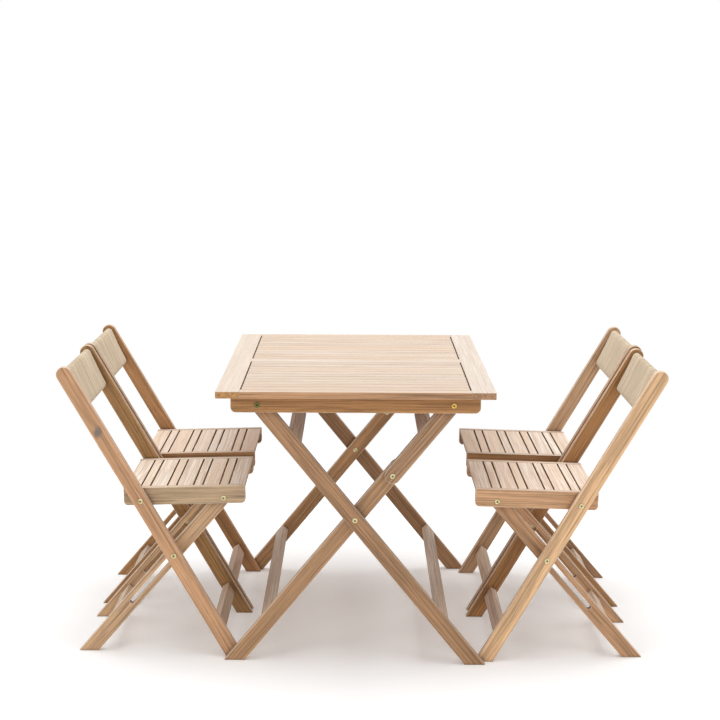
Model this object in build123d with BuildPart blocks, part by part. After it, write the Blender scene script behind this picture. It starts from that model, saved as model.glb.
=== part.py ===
from build123d import *

import os
from math import atan2, cos, degrees, hypot, radians, sin

os.makedirs("parts", exist_ok=True)

# Folding patio dining set: one folding table and four folding chairs, two at each long side.
# Millimetres. The floor is z = 0, the front faces -Y, the origin is the middle of the set's footprint.

# ---- table, measured left and right of its own middle ----
table_x = -15.5
table_height = 740.0
top_width = 720.0
top_length = 1140.0
top_thick = 18.0
end_board_width = 61.5
edge_rail_width = 38.0
center_rail_width = 64.0
groove = 4.0
slat_count = 11          # in each of the two fields
slat_width = 41.0
tongue_width = 30.0
tongue_thick = 8.0
batten_spacing = 262.0
batten_width = 40.0
batten_thick = 20.0
batten_length = 908.0
apron_length = 646.0
apron_height = 42.0
apron_thick = 21.0
apron_outer = 534.0      # distances of faces are taken from the middle of the table

left_pivot = (-254.0, 700.0)
right_pivot = (254.0, 700.0)
crossing = (0.0, 390.0)
outer_foot = (320.0, 0.0)
inner_foot = (-320.0, 0.0)
knee_from_crossing = 154.0
leg_past_knee = 21.0     # centre of the inner leg's round end, beyond the knee
leg_width = 42.0
leg_thick = 25.0
outer_leg_face = 510.0
inner_leg_face = 483.0
leg_stretcher_width = 37.0
leg_stretcher_thick = 20.0
leg_stretcher_aside = 10.5
low_stretcher_from_crossing = 351.0
upper_stretcher_from_pivot = 137.0
link_stretcher_from_pivot = 102.0

# ---- chair, measured back from the feet of its posts ----
chair_x = 335.5
chair_y = 233.0
front_right_tucked = 5.5     # that chair stands a little further under the top than the others
front_right_forward = 25.0   # and a little nearer to the front
post_crown = (446.0, 764.0)
post_foot = (0.0, 0.0)
post_width = 40.0
post_thick = 22.0
post_outer = 223.0       # distances of faces are taken from the middle of the chair
slot_pin = (161.9, 277.3)
seat_hinge = (248.8, 426.0)
leg_hinge = (30.0, 431.0)
rear_foot = (400.0, 0.0)
rear_leg_width = 40.0
rear_leg_thick = 22.0
rear_leg_outer = 174.0
slot_length = 183.0
slot_width = 12.0
seat_middle = (134.0, 437.4)
seat_tilt = 1.6
rail_outer = 198.0
rail_thick = 20.0
rail_length = 324.0
rail_height = 48.0
seat_slat_thick = 10.0
seat_slat_drop = 1.2
seat_slat_widths = (41.0, 20.8, 41.0, 20.8, 41.0, 20.8, 41.0, 20.8, 41.0)
seat_slat_gap = 4.2
chair_stretcher_width = 36.0
chair_stretcher_thick = 20.0
front_stretcher_up = 84.0
front_stretcher_aside = 4.0
rear_stretcher_down = 465.0
back_low = 785.0         # centres of the cord back's round lower and upper ends, along the posts
back_high = 884.0
back_low_aside = 8.4
back_high_aside = -0.6
back_thick = 22.0
back_bar_height = 24.0
cord_layer = 3.0
cord_gap = 1.5

# ---- fasteners ----
shank_r = 4.0
thread_r = 3.0
head_r = 7.0
head_thick = 2.2
head_chamfer = 0.6
socket_across = 5.0
socket_depth = 3.0
snug_r = 4.05            # hole in the piece a bolt is fixed to
loose_r = 4.4            # hole in the piece that turns on it
washer_r = 7.5
sleeve_r = 6.5
running = 0.4            # gap beside a face that moves
eased = 1.5


def along(start, end, distance, aside=0.0):
    """Point at a distance from start towards end, moved aside to the left of that direction."""
    length = hypot(end[0] - start[0], end[1] - start[1])
    run = (end[0] - start[0]) / length
    rise = (end[1] - start[1]) / length
    return (start[0] + run * distance - rise * aside, start[1] + rise * distance + run * aside)


def slope(start, end):
    return degrees(atan2(end[1] - start[1], end[0] - start[0]))


def side_plane(x, y, back=1):
    """Upright plane across Y: its first axis runs along X (to a chair's back), its second up."""
    return Plane(origin=(x, y, 0), x_dir=(back, 0, 0), z_dir=(0, -back, 0))


def end_plane(x):
    """Upright plane across X: its first axis runs along Y, its second up."""
    return Plane(origin=(x, 0, 0), x_dir=(0, 1, 0), z_dir=(1, 0, 0))


def seat_plane(x, y, back):
    """Side plane at the middle of the seat rails, tilted with the seat."""
    tilt = radians(seat_tilt)
    return Plane(
        origin=(x + back * seat_middle[0], y, seat_middle[1]),
        x_dir=(back * cos(tilt), 0, -sin(tilt)),
        z_dir=(0, -back, 0),
    )


def bar_outline(start, end, width, rounded=True):
    """Straight bar from start to end, with a full-round end beyond end and, if rounded, beyond start."""
    middle = ((start[0] + end[0]) / 2, (start[1] + end[1]) / 2)
    with BuildSketch() as outline:
        with Locations(middle):
            Rectangle(hypot(end[0] - start[0], end[1] - start[1]), width, rotation=slope(start, end))
        with Locations(end):
            Circle(width / 2)
        if rounded:
            with Locations(start):
                Circle(width / 2)
    return outline.sketch


def leg_outline(foot, crown, width):
    """Slanted leg with a full-round crown and a foot cut level with the floor."""
    with BuildSketch() as outline:
        add(bar_outline(along(foot, crown, -2 * width), crown, width, rounded=False))
        with Locations((foot[0], -2 * width)):
            Rectangle(8 * width, 4 * width, mode=Mode.SUBTRACT)
    return outline.sketch


def stretcher_outline(start, end, distance, aside, width, thick):
    """Cross-section of a flat bar lying along the line from start to end."""
    with BuildSketch() as outline:
        with Locations(along(start, end, distance, aside)):
            RectangleRounded(width, thick, eased, rotation=slope(start, end))
    return outline.sketch


def axis_plane(at, side):
    """Plane through a level bolt axis: its first axis runs out along Y on that side, its second up."""
    return Plane(origin=at, x_dir=(0, side, 0), z_dir=(side, 0, 0))


def bolt(at, side, seat, step, tip):
    """Flat-headed bolt whose head rests on the face at seat; its threaded end runs from step to tip."""
    top = seat + head_thick
    with BuildPart() as piece:
        with BuildSketch(axis_plane(at, side)):
            Polygon(
                (tip, 0),
                (tip, thread_r),
                (step, thread_r),
                (step, shank_r),
                (seat, shank_r),
                (seat, head_r),
                (top - head_chamfer, head_r),
                (top, head_r - head_chamfer),
                (top, 0),
                align=None,
            )
        revolve(axis=Axis(at, (0, side, 0)))
        with BuildSketch(Plane(origin=(at[0], at[1] + side * top, at[2]), z_dir=(0, side, 0))):
            RegularPolygon(socket_across / 2, 6, major_radius=False)
        extrude(amount=-socket_depth, mode=Mode.SUBTRACT)
    return piece.part


def sleeve_nut(at, side, seat, reach):
    """Flat-headed nut pressed against the inner face at seat, with a threaded sleeve out to reach."""
    top = seat - head_thick
    bore = thread_r + 0.1
    with BuildPart() as piece:
        with BuildSketch(axis_plane(at, side)):
            Polygon(
                (top, bore),
                (top, head_r - head_chamfer),
                (top + head_chamfer, head_r),
                (seat, head_r),
                (seat, shank_r),
                (reach, shank_r),
                (reach, bore),
                align=None,
            )
        revolve(axis=Axis(at, (0, side, 0)))
    return piece.part


def ring(at, side, inner, outer, radius):
    """Washer or spacer round a shank, between two faces."""
    with BuildPart() as piece:
        with BuildSketch(axis_plane(at, side)):
            with Locations(((inner + outer) / 2, (shank_r + 0.2 + radius) / 2)):
                Rectangle(outer - inner, radius - shank_r - 0.2)
        revolve(axis=Axis(at, (0, side, 0)))
    return piece.part


def save(piece, name):
    piece.part.label = name
    export_step(piece.part, f"parts/{name}.step")


# ---- table top ----
top_underside = table_height - top_thick
field_end = top_width / 2 - end_board_width
edge_rail_inner = top_length / 2 - edge_rail_width
slat_gap = (edge_rail_inner - center_rail_width / 2 - slat_count * slat_width) / (slat_count + 1)
slat_pitch = slat_width + slat_gap
slat_ys = [
    side * (center_rail_width / 2 + slat_gap + slat_width / 2 + i * slat_pitch)
    for side in (-1, 1)
    for i in range(slat_count)
]

with BuildPart() as top_end_boards:
    with BuildSketch(Plane.XY.offset(top_underside)):
        for side in (-1, 1):
            with Locations((table_x + side * (top_width - end_board_width) / 2, 0)):
                Rectangle(end_board_width, top_length)
    extrude(amount=top_thick)
    fillet(top_end_boards.edges().filter_by(Axis.Z).group_by(Axis.X)[0], 4)
    fillet(top_end_boards.edges().filter_by(Axis.Z).group_by(Axis.X)[-1], 4)
    fillet(top_end_boards.faces().filter_by(Axis.Z).edges(), eased)
save(top_end_boards, "top_end_boards")

with BuildPart() as top_edge_rails:
    for side in (-1, 1):
        with BuildSketch(end_plane(table_x)):
            with Locations((side * (top_length - edge_rail_width) / 2, top_underside + top_thick / 2)):
                RectangleRounded(edge_rail_width, top_thick, eased)
        extrude(amount=field_end, both=True)
save(top_edge_rails, "top_edge_rails")

with BuildPart() as top_center_rail:
    with BuildSketch(end_plane(table_x)):
        with Locations((0, top_underside + top_thick / 2)):
            RectangleRounded(center_rail_width, top_thick, eased)
    extrude(amount=field_end, both=True)
save(top_center_rail, "top_center_rail")

with BuildPart() as top_slats:
    for slat_y in slat_ys:
        with BuildSketch(end_plane(table_x)):
            with Locations((slat_y, top_underside + top_thick / 2)):
                RectangleRounded(slat_width, top_thick, eased)
        extrude(amount=field_end - groove, both=True)
        with BuildSketch(end_plane(table_x)):
            with Locations((slat_y, top_underside + top_thick / 2)):
                Rectangle(tongue_width, tongue_thick)
        extrude(amount=field_end, both=True)
save(top_slats, "top_slats")

with BuildPart() as top_battens:
    with BuildSketch(Plane.XY.offset(top_underside)):
        with Locations((table_x, 0)):
            with GridLocations(batten_spacing, 0, 3, 1):
                Rectangle(batten_width, batten_length)
    extrude(amount=-batten_thick)
    fillet(top_battens.faces().filter_by(Axis.Z).group_by(Axis.Z)[0].edges(), 2)
save(top_battens, "top_battens")

with BuildPart() as aprons:
    for side in (-1, 1):
        with BuildSketch(side_plane(table_x, side * (apron_outer - apron_thick / 2))) as apron_outline:
            with Locations((0, top_underside - apron_height / 2)):
                Rectangle(apron_length, apron_height)
            fillet(apron_outline.vertices().sort_by(Axis.Y)[:2], 14)
        extrude(amount=apron_thick / 2, both=True)
    fillet(aprons.faces().filter_by(Axis.Y).edges(), eased)
    with BuildSketch(side_plane(table_x, 0)):
        with Locations(left_pivot, right_pivot):
            Circle(snug_r)
    extrude(amount=top_length, both=True, mode=Mode.SUBTRACT)
save(aprons, "aprons")

with BuildPart() as apron_bolts:
    for side in (-1, 1):
        for pivot in (left_pivot, right_pivot):
            at = (table_x + pivot[0], 0, pivot[1])
            inside = outer_leg_face - leg_thick - running
            add(bolt(at, side, apron_outer, inside + 14, inside - 1))
            add(ring(at, side, outer_leg_face + running, apron_outer - apron_thick, washer_r))
            add(sleeve_nut(at, side, inside, inside + 13))
save(apron_bolts, "apron_bolts")

# ---- outer leg frame ----
with BuildPart() as outer_legs:
    for side in (-1, 1):
        with BuildSketch(side_plane(table_x, side * (outer_leg_face - leg_thick / 2))):
            add(leg_outline(outer_foot, left_pivot, leg_width))
        extrude(amount=leg_thick / 2, both=True)
    fillet(outer_legs.faces().filter_by(Axis.Y).edges(), eased)
    with BuildSketch(side_plane(table_x, 0)):
        with Locations(left_pivot):
            Circle(loose_r)
        with Locations(crossing):
            Circle(snug_r)
    extrude(amount=top_length, both=True, mode=Mode.SUBTRACT)
save(outer_legs, "outer_legs")

with BuildPart() as outer_stretchers:
    for start, distance in (
        (left_pivot, upper_stretcher_from_pivot),
        (crossing, low_stretcher_from_crossing),
    ):
        with BuildSketch(side_plane(table_x, 0)):
            add(
                stretcher_outline(
                    start,
                    outer_foot,
                    distance,
                    leg_stretcher_aside,
                    leg_stretcher_width,
                    leg_stretcher_thick,
                )
            )
        extrude(amount=outer_leg_face - leg_thick, both=True)
save(outer_stretchers, "outer_stretchers")

with BuildPart() as cross_bolts:
    for side in (-1, 1):
        at = (table_x + crossing[0], 0, crossing[1])
        inside = inner_leg_face - leg_thick - running
        add(bolt(at, side, outer_leg_face, inside + 14, inside - 1))
        add(ring(at, side, inner_leg_face + running, outer_leg_face - leg_thick, washer_r))
        add(sleeve_nut(at, side, inside, inside + 13))
save(cross_bolts, "cross_bolts")

# ---- inner leg frame ----
knee = along(crossing, inner_foot, -knee_from_crossing)
inner_crown = along(knee, inner_foot, -leg_past_knee)

with BuildPart() as inner_legs:
    for side in (-1, 1):
        with BuildSketch(side_plane(table_x, side * (inner_leg_face - leg_thick / 2))):
            add(leg_outline(inner_foot, inner_crown, leg_width))
        extrude(amount=leg_thick / 2, both=True)
    fillet(inner_legs.faces().filter_by(Axis.Y).edges(), eased)
    with BuildSketch(side_plane(table_x, 0)):
        with Locations(crossing):
            Circle(loose_r)
        with Locations(knee):
            Circle(snug_r)
    extrude(amount=top_length, both=True, mode=Mode.SUBTRACT)
save(inner_legs, "inner_legs")

with BuildPart() as inner_stretcher:
    with BuildSketch(side_plane(table_x, 0)):
        add(
            stretcher_outline(
                crossing,
                inner_foot,
                low_stretcher_from_crossing,
                -leg_stretcher_aside,
                leg_stretcher_width,
                leg_stretcher_thick,
            )
        )
    extrude(amount=inner_leg_face - leg_thick, both=True)
save(inner_stretcher, "inner_stretcher")

with BuildPart() as inner_sleeve_nuts:
    for side in (-1, 1):
        at = (table_x + knee[0], 0, knee[1])
        add(sleeve_nut(at, side, inner_leg_face - leg_thick, inner_leg_face - 4))
save(inner_sleeve_nuts, "inner_sleeve_nuts")

# ---- upper links ----
with BuildPart() as links:
    for side in (-1, 1):
        with BuildSketch(side_plane(table_x, side * (outer_leg_face - leg_thick / 2))):
            add(bar_outline(right_pivot, knee, leg_width))
        extrude(amount=leg_thick / 2, both=True)
    fillet(links.faces().filter_by(Axis.Y).edges(), eased)
    with BuildSketch(side_plane(table_x, 0)):
        with Locations(right_pivot):
            Circle(loose_r)
        with Locations(knee):
            Circle(snug_r)
    extrude(amount=top_length, both=True, mode=Mode.SUBTRACT)
save(links, "links")

with BuildPart() as link_stretcher:
    with BuildSketch(side_plane(table_x, 0)):
        add(
            stretcher_outline(
                right_pivot,
                knee,
                link_stretcher_from_pivot,
                -leg_stretcher_aside,
                leg_stretcher_width,
                leg_stretcher_thick,
            )
        )
    extrude(amount=outer_leg_face - leg_thick, both=True)
save(link_stretcher, "link_stretcher")

with BuildPart() as link_bolts:
    for side in (-1, 1):
        at = (table_x + knee[0], 0, knee[1])
        inside = outer_leg_face - leg_thick
        add(bolt(at, side, outer_leg_face, inside + 6, inside))
save(link_bolts, "link_bolts")


# ---- chairs ----
def build_chair(name, x, y, back):
    """One chair. Its back points along X in the direction of back, its middle is at y."""
    slot_start = hypot(slot_pin[0] - leg_hinge[0], slot_pin[1] - leg_hinge[1])
    rail_inner = rail_outer - rail_thick
    rear_leg_inner = rear_leg_outer - rear_leg_thick
    post_inner = post_outer - post_thick

    for side, which in ((-1, "near"), (1, "far")):
        with BuildPart() as post:
            with BuildSketch(side_plane(x, y + side * (post_outer - post_thick / 2), back)):
                add(leg_outline(post_foot, post_crown, post_width))
            extrude(amount=post_thick / 2, both=True)
            fillet(post.faces().filter_by(Axis.Y).edges(), eased)
            with BuildSketch(side_plane(x, y, back)):
                with Locations(seat_hinge, slot_pin):
                    Circle(snug_r)
            extrude(amount=2 * post_outer, both=True, mode=Mode.SUBTRACT)
        save(post, f"{name}_post_{which}")

    back_ends = (
        along(post_foot, post_crown, back_low, -back_low_aside),
        along(post_foot, post_crown, back_high, -back_high_aside),
    )
    bar_run = back_bar_height - back_thick + 2 * cord_layer
    with BuildPart() as back_bars:
        for start, end in (back_ends, back_ends[::-1]):
            with BuildSketch(side_plane(x, y, back)):
                add(bar_outline(start, along(start, end, bar_run), back_thick - 2 * cord_layer))
            extrude(amount=post_inner, both=True)
    save(back_bars, f"{name}_back_bars")

    with BuildPart() as cord_back:
        with BuildSketch(side_plane(x, y, back)):
            add(bar_outline(back_ends[0], back_ends[1], back_thick))
            add(bar_outline(back_ends[0], back_ends[1], back_thick - 2 * cord_layer), mode=Mode.SUBTRACT)
        extrude(amount=post_inner - cord_gap, both=True)
    save(cord_back, f"{name}_cord_back")

    with BuildPart() as front_stretcher:
        with BuildSketch(side_plane(x, y, back)):
            add(
                stretcher_outline(
                    post_foot,
                    post_crown,
                    front_stretcher_up,
                    -front_stretcher_aside,
                    chair_stretcher_width,
                    chair_stretcher_thick,
                )
            )
        extrude(amount=post_inner, both=True)
    save(front_stretcher, f"{name}_front_stretcher")

    with BuildPart() as post_bolts:
        for side in (-1, 1):
            at = (x + back * seat_hinge[0], y, seat_hinge[1])
            inside = rail_inner - running
            add(bolt(at, side, post_outer, inside + 14, inside - 1))
            add(ring(at, side, rail_outer + running, post_inner, washer_r))
            add(sleeve_nut(at, side, inside, inside + 13))
            at = (x + back * slot_pin[0], y, slot_pin[1])
            add(bolt(at, side, post_outer, rear_leg_outer + 6, rear_leg_outer + 0.5))
            add(ring(at, side, rear_leg_outer + 0.5, post_inner, sleeve_r))
    save(post_bolts, f"{name}_post_bolts")

    with BuildPart() as seat_rails:
        for side in (-1, 1):
            rail_y = y + side * (rail_outer - rail_thick / 2)
            with BuildSketch(seat_plane(x, rail_y, back)) as rail_outline:
                Rectangle(rail_length, rail_height)
                fillet(rail_outline.vertices().group_by(Axis.Y)[0], 11)
                fillet(rail_outline.vertices().group_by(Axis.Y)[-1], 2)
            extrude(amount=rail_thick / 2, both=True)
        fillet(seat_rails.faces().filter_by(Axis.Y).edges(), eased)
        with BuildSketch(side_plane(x, y, back)):
            with Locations(leg_hinge):
                Circle(snug_r)
            with Locations(seat_hinge):
                Circle(loose_r)
        extrude(amount=2 * post_outer, both=True, mode=Mode.SUBTRACT)
    save(seat_rails, f"{name}_seat_rails")

    with BuildPart() as seat_slats:
        slat_run = sum(seat_slat_widths) + seat_slat_gap * (len(seat_slat_widths) - 1)
        slat_level = (rail_height - seat_slat_thick) / 2 - seat_slat_drop
        front_edge = -slat_run / 2
        for width in seat_slat_widths:
            with BuildSketch(seat_plane(x, y, back)):
                with Locations((front_edge + width / 2, slat_level)):
                    RectangleRounded(width, seat_slat_thick, eased)
            extrude(amount=rail_inner, both=True)
            front_edge += width + seat_slat_gap
    save(seat_slats, f"{name}_seat_slats")

    with BuildPart() as seat_bolts:
        for side in (-1, 1):
            at = (x + back * leg_hinge[0], y, leg_hinge[1])
            inside = rear_leg_inner - running
            add(bolt(at, side, rail_outer, inside + 14, inside - 1))
            add(ring(at, side, rear_leg_outer + running, rail_inner, washer_r))
            add(sleeve_nut(at, side, inside, inside + 13))
    save(seat_bolts, f"{name}_seat_bolts")

    with BuildPart() as rear_legs:
        for side in (-1, 1):
            with BuildSketch(side_plane(x, y + side * (rear_leg_outer - rear_leg_thick / 2), back)):
                add(leg_outline(rear_foot, leg_hinge, rear_leg_width))
            extrude(amount=rear_leg_thick / 2, both=True)
        fillet(rear_legs.faces().filter_by(Axis.Y).edges(), eased)
        with BuildSketch(side_plane(x, y, back)):
            with Locations(leg_hinge):
                Circle(loose_r)
            with Locations(along(leg_hinge, rear_foot, slot_start + slot_length / 2)):
                SlotCenterToCenter(slot_length, slot_width, rotation=slope(leg_hinge, rear_foot))
        extrude(amount=2 * post_outer, both=True, mode=Mode.SUBTRACT)
    save(rear_legs, f"{name}_rear_legs")

    with BuildPart() as rear_stretcher:
        with BuildSketch(side_plane(x, y, back)):
            add(
                stretcher_outline(
                    leg_hinge,
                    rear_foot,
                    rear_stretcher_down,
                    0,
                    chair_stretcher_width,
                    chair_stretcher_thick,
                )
            )
        extrude(amount=rear_leg_inner, both=True)
    save(rear_stretcher, f"{name}_rear_stretcher")


build_chair("front_left", -chair_x, -chair_y, -1)
build_chair("back_left", -chair_x, chair_y, -1)
build_chair("front_right", chair_x - front_right_tucked, -chair_y - front_right_forward, 1)
build_chair("back_right", chair_x, chair_y, 1)
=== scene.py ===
import math
import random

import bmesh
import bpy
import numpy as np
from mathutils import Matrix, Vector


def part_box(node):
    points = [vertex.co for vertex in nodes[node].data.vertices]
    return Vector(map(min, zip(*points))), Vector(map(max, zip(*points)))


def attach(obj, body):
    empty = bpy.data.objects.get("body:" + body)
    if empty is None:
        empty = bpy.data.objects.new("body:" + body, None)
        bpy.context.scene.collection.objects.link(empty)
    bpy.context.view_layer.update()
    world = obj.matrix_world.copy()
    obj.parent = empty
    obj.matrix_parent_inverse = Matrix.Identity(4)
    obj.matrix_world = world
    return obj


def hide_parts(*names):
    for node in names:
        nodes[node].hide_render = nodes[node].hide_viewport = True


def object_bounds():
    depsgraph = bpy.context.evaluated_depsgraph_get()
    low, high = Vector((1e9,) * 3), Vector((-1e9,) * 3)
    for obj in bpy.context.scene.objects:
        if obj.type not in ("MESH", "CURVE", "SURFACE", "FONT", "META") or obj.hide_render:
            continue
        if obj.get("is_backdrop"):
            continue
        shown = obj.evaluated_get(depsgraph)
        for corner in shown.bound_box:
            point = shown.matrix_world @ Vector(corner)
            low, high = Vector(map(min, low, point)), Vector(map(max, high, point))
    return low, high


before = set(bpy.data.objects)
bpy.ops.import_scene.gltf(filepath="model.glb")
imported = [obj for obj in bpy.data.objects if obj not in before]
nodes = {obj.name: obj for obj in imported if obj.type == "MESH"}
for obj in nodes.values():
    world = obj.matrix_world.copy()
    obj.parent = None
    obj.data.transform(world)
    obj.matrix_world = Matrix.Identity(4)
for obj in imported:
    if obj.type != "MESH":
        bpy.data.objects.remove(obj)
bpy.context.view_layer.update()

# each chair's name, and the way along X that its back points
chairs = {"front_left": -1, "back_left": -1, "front_right": 1, "back_right": 1}

# ends of the slanted pieces in millimetres, as (x, z), which give the direction of their grain;
# a chair's are measured back from the feet of its posts
top_pivot = (-254, 700)
outer_foot = (320, 0)
inner_foot = (-320, 0)
crossing = (0, 390)
post_foot = (0, 0)
post_crown = (446, 764)
leg_hinge = (30, 431)
rear_foot = (400, 0)
seat_fall = 0.028       # how far the seat drops towards the back, per unit of depth

# the cord backs, in metres
cord_thick = 0.0031
cord_pitch = 0.00312
back_end_radius = 0.011    # of the band's round ends, outside the cord
wound_radius = 0.0096      # of those ends, to the middle of the cord

# the floor, in metres
floor_radius = 4.0
fade_begins = 1.3
fade_ends = 3.6

# the camera: millimetres for the lens, metres for the place, radians for the turns
camera_lens = 91.33
camera_sensor = 36.0
camera_shift = (0.0536, 0.0538)
camera_place = (-0.0153, -5.1747, 1.490)
camera_pitch = 0.165
camera_yaw = -0.019
camera_roll = 0.002

scene = bpy.context.scene
scene.view_settings.view_transform = "Standard"
scene.view_settings.look = "None"


# ---------------------------------------------------------------- helpers for materials
class Tree:
    """A material's node tree, built by short calls."""

    def __init__(self, name):
        self.material = bpy.data.materials.new(name)
        self.material.use_nodes = True
        self.tree = self.material.node_tree
        self.shader = self.tree.nodes["Principled BSDF"]

    def put(self, value, socket):
        if isinstance(value, bpy.types.NodeSocket):
            self.tree.links.new(value, socket)
        elif value is not None:
            socket.default_value = value

    def node(self, kind, settings=(), out=0, **inputs):
        made = self.tree.nodes.new(kind)
        for key, value in dict(settings).items():
            setattr(made, key, value)
        for key, value in inputs.items():
            self.put(value, made.inputs[key.replace("_", " ")])
        return made.outputs[out]

    def math(self, operation, a, b=None, c=None, clamp=False):
        made = self.tree.nodes.new("ShaderNodeMath")
        made.operation = operation
        made.use_clamp = clamp
        for i, value in enumerate((a, b, c)):
            self.put(value, made.inputs[i])
        return made.outputs[0]

    def vector(self, operation, a, b=None, scale=None):
        made = self.tree.nodes.new("ShaderNodeVectorMath")
        made.operation = operation
        self.put(a, made.inputs[0])
        self.put(b, made.inputs[1])
        if scale is not None:
            self.put(scale, made.inputs["Scale"])
        return made.outputs["Value"] if operation in ("DOT_PRODUCT", "LENGTH") else made.outputs[0]

    def noise(self, vector, scale, detail=4.0, roughness=0.5, distortion=0.0):
        return self.node(
            "ShaderNodeTexNoise",
            Vector=vector,
            Scale=scale,
            Detail=detail,
            Roughness=roughness,
            Distortion=distortion,
        )

    def ramp(self, fac, *stops):
        made = self.tree.nodes.new("ShaderNodeValToRGB")
        elements = made.color_ramp.elements
        while len(elements) < len(stops):
            elements.new(0.5)
        for element, (place, colour) in zip(elements, stops):
            element.position = place
            element.color = (*colour, 1.0) if isinstance(colour, tuple) else (colour, colour, colour, 1.0)
        self.put(fac, made.inputs["Fac"])
        return made.outputs["Color"]

    def mix(self, fac, a, b, blend="MIX"):
        made = self.tree.nodes.new("ShaderNodeMix")
        made.data_type = "RGBA"
        made.blend_type = blend
        self.put(fac, made.inputs[0])
        for socket, value in ((made.inputs[6], a), (made.inputs[7], b)):
            self.put((*value, 1.0) if isinstance(value, tuple) and len(value) == 3 else value, socket)
        return made.outputs[2]

    def smooth(self, value, low, high):
        made = self.tree.nodes.new("ShaderNodeMapRange")
        made.interpolation_type = "SMOOTHSTEP"
        # for each node: the direction of its grain, its colour, and how far its upward faces are painted
        # paler, partly for sun-bleaching and partly as painted top light
        self.put(value, made.inputs["Value"])
        self.put(low, made.inputs["From Min"])
        self.put(high, made.inputs["From Max"])
        return made.outputs["Result"]

    def bump(self, height, distance, strength=1.0, normal=None):
        return self.node(
            "ShaderNodeBump", Height=height, Distance=distance, Strength=strength, Normal=normal
        )


def srgb(red, green, blue):
    """Linear colour from everyday 0-255 values."""
    return tuple(
        c / 255 / 12.92 if c <= 10.3 else ((c / 255 + 0.055) / 1.055) ** 2.4 for c in (red, green, blue)
    )


def shade(colour, amount):
    return tuple(min(c * amount, 1.0) for c in colour)


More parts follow.
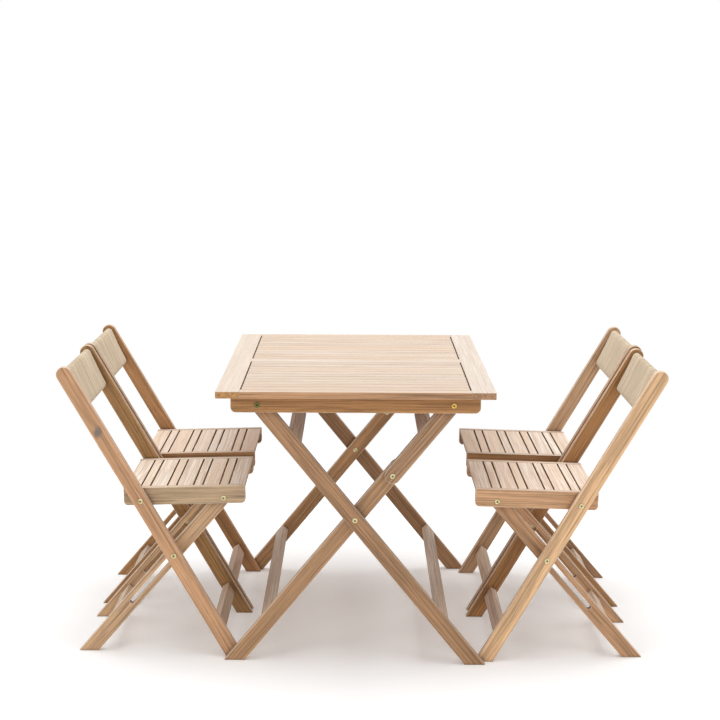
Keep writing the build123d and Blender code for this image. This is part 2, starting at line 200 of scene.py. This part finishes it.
def wood(name, grain, base, seed=0.0, bleach_and_top_light=0.6, pale=1.0, dusty=0.15, wear_and_highlight=0.8, knot=None):
    """Lightly oiled acacia, faded by the sun, with painted top light, painted edge highlights and painted
    shade in gaps.

    grain is the fibre's direction and base the colour of its plain upright faces. bleach_and_top_light says
    how far its upward faces are painted paler, partly for sun-bleaching and partly as painted top light; pale
    is how light they are then, a painted top light as well, and dusty how little of the grain is left to see.
    wear_and_highlight is how light its edges are painted, a painted highlight over some rubbed wear, and knot
    the place of a small grey knot, if any.
    """
    t = Tree(name)
    grain = Vector(grain).normalized()
    turn = grain.rotation_difference(Vector((1, 0, 0))).to_euler()
    place = t.node("ShaderNodeTexCoord", out=3)
    board = t.node("ShaderNodeAttribute", {"attribute_name": "board"}, out=2)
    shift = t.vector("SCALE", (3.17, 7.31, 5.63), scale=t.math("ADD", board, seed))
    laid = t.node("ShaderNodeMapping", Vector=place, Rotation=tuple(turn))
    laid = t.vector("ADD", laid, shift)

    # slow wander of the fibre, which bends every finer layer a little
    wander = t.noise(t.vector("MULTIPLY", laid, (1.7, 6.0, 6.0)), 1.0, 2.0)
    wander = t.math("SUBTRACT", wander, 0.5)
    if knot is not None:
        away = t.vector("MULTIPLY", t.vector("SUBTRACT", place, knot), (1.0, 0.6, 0.72))
        reach = t.vector("LENGTH", away)
        near_knot = t.math("SUBTRACT", 1.0, t.smooth(reach, 0.0035, 0.016))
        wander = t.math("ADD", wander, t.math("MULTIPLY", near_knot, 0.16))
    bent = t.vector("ADD", laid, t.vector("SCALE", (0.0, 1.0, 1.0), scale=t.math("MULTIPLY", wander, 0.022)))

    # growth rings cut lengthwise, then darker and paler streaks, then fine pores
    rings = t.noise(t.vector("MULTIPLY", bent, (1.4, 42.0, 42.0)), 1.0, 2.5, 0.5)
    rings = t.math("MULTIPLY", t.math("PINGPONG", t.math("MULTIPLY", rings, 6.0), 0.5), 2.0)
    figure = t.noise(t.vector("MULTIPLY", bent, (0.9, 16.0, 16.0)), 1.0, 4.0, 0.6)
    streaks = t.noise(t.vector("MULTIPLY", bent, (2.4, 210.0, 210.0)), 1.0, 3.5, 0.62)
    fibres = t.noise(t.vector("MULTIPLY", bent, (9.0, 520.0, 520.0)), 1.0, 2.0, 0.5)
    pores = t.smooth(t.noise(t.vector("MULTIPLY", bent, (34.0, 1000.0, 1000.0)), 1.0, 2.0, 0.5), 0.60, 0.76)

    colour = t.ramp(figure, (0.28, shade(base, 0.74)), (0.48, base), (0.70, shade(base, 1.24)))
    colour = t.mix(t.math("MULTIPLY", t.smooth(rings, 0.45, 1.0), 0.48), colour, shade(base, 0.48))
    colour = t.mix(t.math("MULTIPLY", t.smooth(streaks, 0.50, 0.64), 0.62), colour, shade(base, 0.40))
    colour = t.mix(t.math("MULTIPLY", t.smooth(streaks, 0.46, 0.34), 0.45), colour, shade(base, 1.60))
    colour = t.mix(t.math("MULTIPLY", t.smooth(fibres, 0.50, 0.30), 0.35), colour, shade(base, 1.50))
    colour = t.mix(t.math("MULTIPLY", pores, 0.5), colour, shade(base, 0.28))

    # boards differ: some sawn from paler, some from redder wood
    paler = t.node("ShaderNodeTexWhiteNoise", {"noise_dimensions": "1D"}, W=t.math("ADD", board, seed), out=0)
    redder = t.node(
        "ShaderNodeTexWhiteNoise", {"noise_dimensions": "1D"}, W=t.math("ADD", board, seed + 17.3), out=0
    )
    colour = t.node(
        "ShaderNodeHueSaturation",
        Color=colour,
        Hue=t.math("MULTIPLY_ADD", redder, 0.008, 0.497),
        Saturation=t.math("MULTIPLY_ADD", redder, 0.2, 0.95),
        Value=t.math("MULTIPLY_ADD", paler, 0.24, 0.90),
    )
    if knot is not None:
        ring_line = t.math("PINGPONG", t.math("MULTIPLY", reach, 900.0), 1.0)
        knotted = t.mix(ring_line, srgb(92, 86, 84), srgb(134, 124, 118))
        colour = t.mix(t.math("MULTIPLY", near_knot, 0.85), colour, knotted)

    # upward faces are painted paler, partly for the sun's bleaching and dust, partly as painted top light,
    # with the grain still showing
    up = t.node("ShaderNodeSeparateXYZ", Vector=t.node("ShaderNodeTexCoord", out=1), out=2)
    between = shade(srgb(229, 221, 211), pale)
    streaked = shade(srgb(188, 162, 140), pale)
    ringed = shade(srgb(198, 172, 148), pale)
    washed_and_lit = t.ramp(streaks, (0.38, between), (0.62, streaked))
    washed_and_lit = t.mix(t.math("MULTIPLY", t.smooth(rings, 0.4, 1.0), 0.30), washed_and_lit, ringed)
    washed_and_lit = t.mix(t.math("MULTIPLY", paler, 0.7), washed_and_lit, shade(srgb(212, 184, 157), pale))
    washed_and_lit = t.mix(dusty, washed_and_lit, shade(srgb(216, 206, 194), pale))
    bleach_and_light_mask = t.math("MULTIPLY", t.smooth(up, 0.15, 0.9), bleach_and_top_light)
    colour = t.mix(bleach_and_light_mask, colour, washed_and_lit)

    # painted highlight on the eased edges over some rubbed wear, and painted shade in the gaps and against
    # joints
    bevel = t.node("ShaderNodeBevel", {"samples": 4}, Radius=0.0028)
    geometry = t.node("ShaderNodeNewGeometry", out=1)
    edge = t.smooth(t.math("SUBTRACT", 1.0, t.vector("DOT_PRODUCT", bevel, geometry)), 0.006, 0.09)
    patchy = t.smooth(t.noise(t.vector("MULTIPLY", place, (40.0, 40.0, 40.0)), 1.0), 0.15, 0.6)
    colour = t.mix(t.math("MULTIPLY", t.math("MULTIPLY", edge, patchy), wear_and_highlight), colour, srgb(244, 226, 202))
    # painted shade: the wood darkens where nearby surfaces crowd it, in gaps and against joints
    painted_gap_shade = t.node("ShaderNodeAmbientOcclusion", {"samples": 6}, out=1, Distance=0.014)
    painted_gap_shade = t.math("MULTIPLY", t.smooth(painted_gap_shade, 0.80, 0.20), 0.8)
    colour = t.mix(painted_gap_shade, colour, shade(base, 0.16))

    t.put(colour, t.shader.inputs["Base Color"])
    rough = t.math("MULTIPLY_ADD", streaks, 0.2, 0.48)
    t.put(t.math("MULTIPLY_ADD", pores, 0.15, rough), t.shader.inputs["Roughness"])
    t.shader.inputs["Specular IOR Level"].default_value = 0.35
    height = t.math("ADD", t.math("MULTIPLY", streaks, 0.5), t.math("MULTIPLY", rings, 0.25))
    height = t.math("SUBTRACT", height, t.math("MULTIPLY", pores, 0.6))
    t.put(t.bump(height, 0.0005, 0.8), t.shader.inputs["Normal"])
    return t.material


def brass(name, colour, dull, left=None):
    """Plated screw metal, hazed and speckled with age. left is its colour on the set's left side."""
    t = Tree(name)
    place = t.node("ShaderNodeTexCoord", out=3)
    haze = t.noise(place, 140.0, 5.0, 0.6)
    specks = t.smooth(t.noise(place, 900.0, 2.0), 0.62, 0.74)
    tint = t.mix(t.smooth(haze, 0.35, 0.7), colour, dull)
    if left is not None:
        x = t.node("ShaderNodeSeparateXYZ", Vector=place)
        tint = t.mix(t.smooth(x, 0.0, -0.1), tint, left)
    tint = t.mix(t.math("MULTIPLY", specks, 0.5), tint, srgb(88, 72, 42))
    # painted shade inside the hex socket and round the rim of the head
    painted_socket_shade = t.node("ShaderNodeAmbientOcclusion", {"samples": 6}, out=1, Distance=0.006)
    tint = t.mix(t.math("MULTIPLY", t.smooth(painted_socket_shade, 0.75, 0.3), 0.9), tint, srgb(44, 42, 26))
    t.put(tint, t.shader.inputs["Base Color"])
    t.shader.inputs["Metallic"].default_value = 0.85
    t.put(t.math("ADD", t.math("MULTIPLY", haze, 0.3), 0.2), t.shader.inputs["Roughness"])
    t.put(t.bump(t.math("ADD", haze, specks), 0.0001, 0.5), t.shader.inputs["Normal"])
    return t.material


def cord_material():
    """Two-ply twisted paper cord. The mesh's UVs run along the cord in metres, and once round it."""
    t = Tree("twisted_cord")
    uv = t.node("ShaderNodeTexCoord", out=2)
    turns = t.vector("DOT_PRODUCT", uv, (1 / 0.009, 2.0, 0.0))
    ply = t.math("FRACT", turns)
    ridge = t.math("SUBTRACT", 1.0, t.math("ABSOLUTE", t.math("MULTIPLY_ADD", ply, 2.0, -1.0)))
    groove = t.smooth(ridge, 0.0, 0.45)
    place = t.node("ShaderNodeTexCoord", out=3)
    fibre = t.noise(t.vector("MULTIPLY", place, (900.0, 900.0, 160.0)), 1.0, 3.0, 0.6)
    patch = t.noise(t.vector("MULTIPLY", place, (40.0, 120.0, 12.0)), 1.0, 3.0)
    lay = t.noise(t.vector("MULTIPLY", place, (1.5, 150.0, 1.5)), 1.0, 2.5, 0.7)
    colour = t.ramp(patch, (0.3, srgb(206, 187, 160)), (0.7, srgb(226, 210, 186)))
    colour = t.mix(t.math("MULTIPLY", t.smooth(lay, 0.44, 0.58), 0.72), colour, srgb(162, 136, 104))
    colour = t.mix(t.math("MULTIPLY", fibre, 0.3), colour, srgb(236, 226, 204))
    # painted shade in the creases between the two plies
    colour = t.mix(t.math("SUBTRACT", 0.55, t.math("MULTIPLY", groove, 0.55)), colour, srgb(134, 112, 80))
    t.put(colour, t.shader.inputs["Base Color"])
    t.put(t.math("ADD", t.math("MULTIPLY", fibre, 0.2), 0.68), t.shader.inputs["Roughness"])
    t.shader.inputs["Specular IOR Level"].default_value = 0.25
    t.shader.inputs["Sheen Weight"].default_value = 0.15
    height = t.math("ADD", groove, t.math("MULTIPLY", fibre, 0.25))
    t.put(t.bump(height, 0.0004, 0.8), t.shader.inputs["Normal"])
    return t.material


# ---------------------------------------------------------------- carried-over CAD nodes
def number_boards(obj, seed):
    """Gives every separate solid in a node its own number, kept as a point attribute called board."""
    mesh = obj.data
    count = len(mesh.vertices)
    places = np.zeros(count * 3)
    mesh.vertices.foreach_get("co", places)
    keys = {}
    first = [keys.setdefault(tuple(p), i) for i, p in enumerate(np.round(places.reshape(-1, 3), 6).tolist())]
    parent = list(range(count))

    def root(i):
        while parent[i] != i:
            parent[i] = parent[parent[i]]
            i = parent[i]
        return i

    for edge in mesh.edges:
        a, b = root(first[edge.vertices[0]]), root(first[edge.vertices[1]])
        if a != b:
            parent[max(a, b)] = min(a, b)
    roots = [root(first[i]) for i in range(count)]
    order = {r: n for n, r in enumerate(sorted(set(roots)))}
    picker = random.Random(seed)
    value = [picker.uniform(0, 10) for _ in order]
    attribute = mesh.attributes.new("board", "FLOAT", "POINT")
    attribute.data.foreach_set("value", [value[order[r]] for r in roots])


def paint(obj, material):
    obj.data.materials.clear()
    obj.data.materials.append(material)


def lean(start, end, back=1):
    return (back * (end[0] - start[0]), 0.0, end[1] - start[1])


across = (0.0, 1.0, 0.0)
sideways = (1.0, 0.0, 0.0)
outer_lean = lean(top_pivot, outer_foot)
inner_lean = lean(inner_foot, crossing)

# for each node: the direction of its grain, its colour, and how far its upward faces are washed out
table_woods = {
    "top_end_boards": (across, (172, 132, 98), 0.92),
    "top_edge_rails": (sideways, (166, 126, 90), 0.92),
    "top_center_rail": (sideways, (176, 138, 104), 0.9),
    "top_slats": (sideways, (168, 128, 92), 0.86),
    "top_battens": (across, (140, 102, 70), 0.3),
    "aprons": (sideways, (174, 128, 85), 0.6),
    "outer_legs": (outer_lean, (162, 126, 97), 0.62),
    "outer_stretchers": (across, (170, 136, 106), 0.75),
    "inner_legs": (inner_lean, (180, 139, 98), 0.62),
    "inner_stretcher": (across, (170, 136, 106), 0.75),
    "links": (inner_lean, (154, 119, 86), 0.62),
    "link_stretcher": (across, (160, 122, 90), 0.7),
}
chair_grains = {
    "post_near": lean(post_foot, post_crown),
    "post_far": lean(post_foot, post_crown),
    "back_bars": across,
    "front_stretcher": across,
    "seat_rails": lean((0, 0), (1, -seat_fall)),
    "seat_slats": across,
    "rear_legs": lean(leg_hinge, rear_foot),
    "rear_stretcher": across,
}

# for each chair: the colours of its near post, its far post, its seat and its rear legs
chair_colours = {
    "front_left": ((184, 141, 102), (158, 120, 82), (176, 150, 120), (176, 142, 106)),
    "back_left": ((150, 112, 80), (160, 120, 90), (156, 118, 86), (158, 120, 90)),
    "front_right": ((200, 165, 134), (152, 112, 80), (194, 152, 114), (174, 134, 98)),
    "back_right": ((140, 102, 72), (178, 142, 106), (160, 120, 88), (154, 116, 86)),
}

for number, (node, (grain, base, bleach_and_top_light)) in enumerate(table_woods.items()):
    number_boards(nodes[node], number)
    dusty = 0.6 if node == "top_end_boards" else 0.15
    # painted edge highlight and wear kept faint on the top, so the gaps between its slats stay dark
    wear_and_highlight = 0.12 if node.startswith("top") else 0.8
    material = wood(f"acacia_{node}", grain, srgb(*base), number * 1.37, bleach_and_top_light, dusty=dusty, wear_and_highlight=wear_and_highlight)
    paint(nodes[node], material)

for number, (chair, back) in enumerate(chairs.items()):
    near, far, seat, rear = (srgb(*colour) for colour in chair_colours[chair])
    colours = {
        "post_near": near,
        "post_far": far,
        "back_bars": far,
        "front_stretcher": far,
        "seat_rails": seat,
        "seat_slats": seat,
        "rear_legs": rear,
        "rear_stretcher": rear,
    }
    for which, (part, grain) in enumerate(chair_grains.items()):
        obj = nodes[f"{chair}_{part}"]
        number_boards(obj, 100 + 20 * number + which)
        direction = (grain[0] * back, grain[1], grain[2])
        knot = None
        if obj.name == "front_left_post_near":
            low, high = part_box(obj.name)
            knot = (low.x + 0.22 * (high.x - low.x), low.y, low.z + 0.78 * (high.z - low.z))
        material = wood(
            f"acacia_{chair}_{part}",
            direction,
            colours[part],
            20 + 11 * number + which * 1.91,
            # how far its upward faces are painted paler (sun-bleaching and painted top light), then how much
            # lighter that painted top light is on the chairs
            0.88 if part == "seat_slats" else 0.6,
            1.27,
            wear_and_highlight=0.5 if part == "seat_slats" else 0.8,
            knot=knot,
        )
        paint(obj, material)

gold = brass("yellow_plating", srgb(238, 200, 104), srgb(196, 158, 80), left=srgb(112, 112, 66))
aged = brass("aged_plating", srgb(232, 220, 176), srgb(176, 164, 112))
for name, obj in nodes.items():
    if "bolts" in name or "nuts" in name:
        paint(obj, gold if name.startswith("apron") else aged)


# ---------------------------------------------------------------- cord backs
def winding_path(name, low, high, y_low, y_high):
    """Points along one cord wound edge to edge round both back bars, and its radius at each of them.

    low and high are the (x, z) centres of the band's two round ends; it is wound along Y.
    """
    axis = Vector((high[0] - low[0], high[1] - low[1]))
    length = axis.length
    along = axis / length
    aside = Vector((-along.y, along.x))
    turns = int((y_high - y_low - cord_thick) / cord_pitch)
    picker = random.Random(name)
    steps = 6
    parts = [i / steps for i in range(steps)]
    angles = [math.pi * part for part in parts]
    bends = [(wound_radius * math.sin(angle), wound_radius * math.cos(angle)) for angle in angles]
    section = [(length * part, wound_radius) for part in parts]
    section += [(length + run, out) for run, out in bends]
    section += [(length * (1 - part), -wound_radius) for part in parts]
    section += [(-run, -out) for run, out in bends]
    path, radii = [], []
    for turn in range(turns):
        # every turn strays a little sideways, sinks a little between the bars and has its own thickness
        wobble = picker.uniform(-0.00025, 0.00025)
        lift = picker.uniform(-0.0002, 0.0002)
        radius = cord_thick / 2 * picker.uniform(0.94, 1.04)
        for i, (run, out) in enumerate(section):
            share = i / len(section)
            mid = math.sin(math.pi * min(max(run / length, 0.0), 1.0))
            inward = 1.0 - (0.10 + 40 * lift) * mid
            y = y_low + cord_thick / 2 + (turn + share) * cord_pitch + wobble * mid
            spot = Vector(low) + along * run + aside * out * inward
            path.append(Vector((spot.x, y, spot.y)))
            radii.append(radius)
    return path, radii


def winding(name, low, high, y_low, y_high):
    """The wound cord as a swept tube, with UVs that run along it in metres and once round it."""
    path, radii = winding_path(name, low, high, y_low, y_high)
    sides = 7
    mesh = bmesh.new()
    uv_layer = mesh.loops.layers.uv.new("UVMap")
    rings = []
    travelled = [0.0]
    for a, b in zip(path, path[1:]):
        travelled.append(travelled[-1] + (b - a).length)
    for i, spot in enumerate(path):
        tangent = (path[min(i + 1, len(path) - 1)] - path[max(i - 1, 0)]).normalized()
        side = Vector((0, 1, 0))
        side = (side - tangent * side.dot(tangent)).normalized()
        up = tangent.cross(side)
        rings.append([
            mesh.verts.new(
                spot
                + side * radii[i] * math.cos(math.tau * k / sides)
                + up * radii[i] * math.sin(math.tau * k / sides)
            )
            for k in range(sides)
        ])
    for i in range(len(rings) - 1):
        for k in range(sides):
            j = (k + 1) % sides
            face = mesh.faces.new((rings[i][k], rings[i][j], rings[i + 1][j], rings[i + 1][k]))
            face.smooth = True
            for loop, (along_at, round_at) in zip(
                face.loops,
                (
                    (travelled[i], k / sides),
                    (travelled[i], (k + 1) / sides),
                    (travelled[i + 1], (k + 1) / sides),
                    (travelled[i + 1], k / sides),
                ),
            ):
                loop[uv_layer].uv = (along_at, round_at)
    mesh.faces.new(rings[0][::-1])
    mesh.faces.new(rings[-1])
    bmesh.ops.recalc_face_normals(mesh, faces=mesh.faces)
    data = bpy.data.meshes.new(name)
    mesh.to_mesh(data)
    mesh.free()
    obj = bpy.data.objects.new(name, data)
    scene.collection.objects.link(obj)
    return obj


cord = cord_material()
for chair, back in chairs.items():
    solid = f"{chair}_cord_back"
    low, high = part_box(solid)
    fore, aft = (low.x, high.x) if back > 0 else (high.x, low.x)
    bottom = (fore + back * back_end_radius, low.z + back_end_radius)
    top = (aft - back * back_end_radius, high.z - back_end_radius)
    piece = winding(f"{chair}_cord_winding", bottom, top, low.y, high.y)
    paint(piece, cord)
    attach(piece, f"{chair}_posts")
    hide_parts(solid)


# ---------------------------------------------------------------- floor, light and camera
def make_floor():
    """A pale disc of floor that fades into the white studio at its rim."""
    mesh = bmesh.new()
    bmesh.ops.create_circle(mesh, cap_ends=True, segments=96, radius=floor_radius)
    data = bpy.data.meshes.new("studio_floor")
    mesh.to_mesh(data)
    mesh.free()
    obj = bpy.data.objects.new("studio_floor", data)
    scene.collection.objects.link(obj)
    t = Tree("pale_floor")
    place = t.node("ShaderNodeTexCoord", out=3)
    t.put(t.smooth(t.vector("LENGTH", place), fade_ends, fade_begins), t.shader.inputs["Alpha"])
    t.shader.inputs["Base Color"].default_value = (0.95, 0.95, 0.95, 1.0)
    t.shader.inputs["Roughness"].default_value = 0.95
    t.shader.inputs["Specular IOR Level"].default_value = 0.1
    t.shader.inputs["Emission Color"].default_value = (1.0, 1.0, 1.0, 1.0)
    t.shader.inputs["Emission Strength"].default_value = 0.14
    paint(obj, t.material)
    obj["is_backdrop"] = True


def make_studio():
    """White round the horizon and below, softer grey walls above it."""
    world = bpy.data.worlds.new("studio")
    world.use_nodes = True
    tree = world.node_tree
    way = tree.nodes.new("ShaderNodeTexCoord")
    parts = tree.nodes.new("ShaderNodeSeparateXYZ")
    fade = tree.nodes.new("ShaderNodeMapRange")
    fade.interpolation_type = "SMOOTHSTEP"
    fade.inputs["From Min"].default_value = 0.12
    fade.inputs["From Max"].default_value = 0.5
    fade.inputs["To Min"].default_value = 1.0
    fade.inputs["To Max"].default_value = 0.62
    tree.links.new(way.outputs["Generated"], parts.inputs[0])
    tree.links.new(parts.outputs[2], fade.inputs["Value"])
    tree.links.new(fade.outputs["Result"], tree.nodes["Background"].inputs["Strength"])
    tree.nodes["Background"].inputs["Color"].default_value = (1.0, 1.0, 1.0, 1.0)
    scene.world = world


def area_light(name, place, target, size, power, colour=(1.0, 1.0, 1.0)):
    data = bpy.data.lights.new(name, "AREA")
    data.shape = "RECTANGLE"
    data.size, data.size_y = size
    data.energy = power
    data.color = colour
    obj = bpy.data.objects.new(name, data)
    obj.location = place
    obj.rotation_mode = "QUATERNION"
    obj.rotation_quaternion = (Vector(target) - Vector(place)).to_track_quat("-Z", "Y")
    scene.collection.objects.link(obj)


make_floor()
make_studio()
area_light("overhead", (0.0, 0.3, 3.4), (0.0, 0.0, 0.3), (3.4, 3.0), 75.0)
area_light("front_left_box", (-3.0, -3.4, 2.6), (0.0, 0.0, 0.5), (1.8, 1.8), 26.0)
area_light("front_right_box", (3.2, -2.8, 2.2), (0.0, 0.0, 0.5), (1.4, 1.8), 18.0)

camera_data = bpy.data.cameras.new("studio_camera")
camera_data.sensor_width = camera_sensor
camera_data.lens = camera_lens
camera_data.shift_x, camera_data.shift_y = camera_shift
camera_data.clip_start, camera_data.clip_end = 0.1, 200.0
camera = bpy.data.objects.new("studio_camera", camera_data)
scene.collection.objects.link(camera)
level = math.cos(camera_pitch)
forward = Vector((math.sin(camera_yaw) * level, math.cos(camera_yaw) * level, -math.sin(camera_pitch)))
right = Vector((math.cos(camera_yaw), -math.sin(camera_yaw), 0.0))
above = right.cross(forward)
right, above = (
    right * math.cos(camera_roll) + above * math.sin(camera_roll),
    above * math.cos(camera_roll) - right * math.sin(camera_roll),
)
turned = Matrix((right, above, -forward)).transposed().to_4x4()
camera.matrix_world = Matrix.Translation(camera_place) @ turned
scene.camera = camera

low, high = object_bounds()
